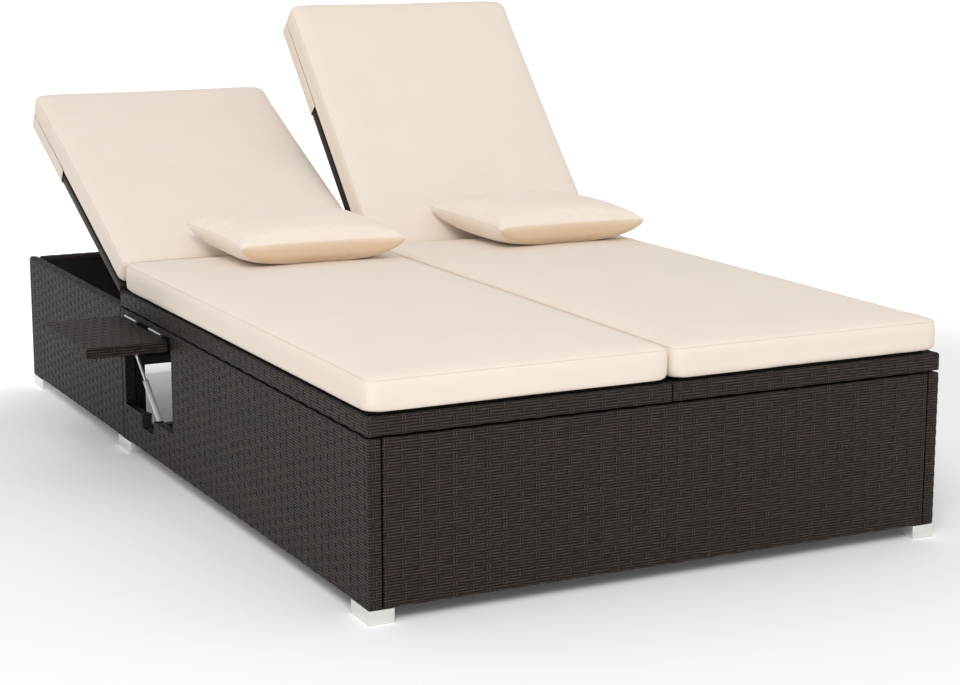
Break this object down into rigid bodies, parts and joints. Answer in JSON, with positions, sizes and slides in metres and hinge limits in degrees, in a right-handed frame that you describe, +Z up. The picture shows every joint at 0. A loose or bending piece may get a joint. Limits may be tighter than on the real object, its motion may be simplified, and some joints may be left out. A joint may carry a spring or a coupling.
{
  "type": "outdoor daybed",
  "caption": "Low woven daybed for two with side-by-side seat cushions, separately reclining backs, an open rear box and a strut-held folding tray on each side.",
  "frame": {"origin": "On the floor under the middle of the bed's box, trays raised.", "axes": "+X to the right seen from the foot end, +Y from the foot end to the head end, +Z up."},
  "size_m": [1.496, 2.04, 0.9173],
  "materials": {
    "wicker": "woven flat resin strands, dark brown-black, satin",
    "woven_deck": "woven resin strands over battens, matte",
    "coated_steel": "black powder coat, satin",
    "bright_steel": "zinc-bright steel, smooth",
    "foot_metal": "brushed",
    "cushion_fabric": "cream beige woven polyester over foam"
  },
  "bodies": {
    "base": {"back_hinge_cheeks_left": "coated_steel", "back_hinge_cheeks_right": "coated_steel", "back_hinge_pins_left": "bright_steel", "back_hinge_pins_right": "bright_steel", "bottom_rails": "coated_steel", "foot_front_left": "foot_metal", "foot_front_right": "foot_metal", "foot_middle_left": "foot_metal", "foot_middle_right": "foot_metal", "foot_rear_left": "foot_metal", "foot_rear_right": "foot_metal", "frame_posts": "coated_steel", "front_panel": "wicker", "opening_brace_left": "coated_steel", "opening_brace_right": "coated_steel", "pillow_left": "cushion_fabric", "pillow_right": "cushion_fabric", "rear_panel": "wicker", "rear_side_panel_left": "wicker", "rear_side_panel_right": "wicker", "seat_cushion_left": "cushion_fabric", "seat_cushion_right": "cushion_fabric", "seat_deck_left": "woven_deck", "seat_deck_right": "woven_deck", "seat_frame_left": "wicker", "seat_frame_right": "wicker", "side_panel_left": "wicker", "side_panel_right": "wicker", "strut_lower_bracket_left": "bright_steel", "strut_lower_bracket_right": "bright_steel", "strut_lower_pin_left": "bright_steel", "strut_lower_pin_right": "bright_steel", "top_rails": "coated_steel", "tray_hinge_fixed_leaves_left": "bright_steel", "tray_hinge_fixed_leaves_right": "bright_steel", "tray_hinge_pins_left": "bright_steel", "tray_hinge_pins_right": "bright_steel"},
    "back_left": {"back_cushion_left": "cushion_fabric", "back_deck_left": "woven_deck", "back_frame_left": "coated_steel", "back_hinge_arms_left": "coated_steel", "cushion_pocket_left": "cushion_fabric"},
    "back_right": {"back_cushion_right": "cushion_fabric", "back_deck_right": "woven_deck", "back_frame_right": "coated_steel", "back_hinge_arms_right": "coated_steel", "cushion_pocket_right": "cushion_fabric"},
    "tray_left": {"strut_upper_bracket_left": "bright_steel", "tray_hinge_moving_leaves_left": "bright_steel", "tray_panel_left": "wicker"},
    "tray_right": {"strut_upper_bracket_right": "bright_steel", "tray_hinge_moving_leaves_right": "bright_steel", "tray_panel_right": "wicker"},
    "strut_cylinder_left": {"strut_cylinder_left": "bright_steel"},
    "strut_cylinder_right": {"strut_cylinder_right": "bright_steel"},
    "strut_rod_left": {"strut_rod_left": "bright_steel"},
    "strut_rod_right": {"strut_rod_right": "bright_steel"}
  },
  "joints": [
    {"name": "back_left_recline", "type": "hinge", "parent": "base", "child": "back_left", "pos_m": [-0.28775, 0.305, 0.343], "axis": [1, 0, 0], "range_deg": [-25, 22]},
    {"name": "back_right_recline", "type": "hinge", "parent": "base", "child": "back_right", "pos_m": [0.28775, 0.305, 0.343], "axis": [1, 0, 0], "range_deg": [-47, 0]},
    {"name": "tray_left_fold", "type": "hinge", "parent": "base", "child": "tray_left", "pos_m": [-0.578, 0.13, 0.302], "axis": [0, -1, 0], "range_deg": [0, 90]},
    {"name": "tray_right_fold", "type": "hinge", "parent": "base", "child": "tray_right", "pos_m": [0.578, 0.13, 0.302], "axis": [0, 1, 0], "range_deg": [0, 90]},
    {"name": "strut_left_swing", "type": "hinge", "parent": "base", "child": "strut_cylinder_left", "pos_m": [-0.544, 0.13, 0.085], "axis": [0, 1, 0], "range_deg": [0, 24.39]},
    {"name": "strut_left_slide", "type": "slide", "parent": "strut_cylinder_left", "child": "strut_rod_left", "axis": [-0.2962, 0, 0.9551], "range_m": [0, 0.03862]},
    {"name": "strut_right_swing", "type": "hinge", "parent": "base", "child": "strut_cylinder_right", "pos_m": [0.544, 0.13, 0.085], "axis": [0, -1, 0], "range_deg": [0, 24.39]},
    {"name": "strut_right_slide", "type": "slide", "parent": "strut_cylinder_right", "child": "strut_rod_right", "axis": [0.2962, 0, 0.9551], "range_m": [0, 0.03862]}
  ],
  "couplings": [
    {"joint": "strut_left_swing", "follows": "tray_left_fold", "ratio": 0.26984},
    {"joint": "strut_left_slide", "follows": "tray_left_fold", "m_per_rad": 0.024266},
    {"joint": "strut_right_swing", "follows": "tray_right_fold", "ratio": 0.26984},
    {"joint": "strut_right_slide", "follows": "tray_right_fold", "m_per_rad": 0.024266}
  ]
}
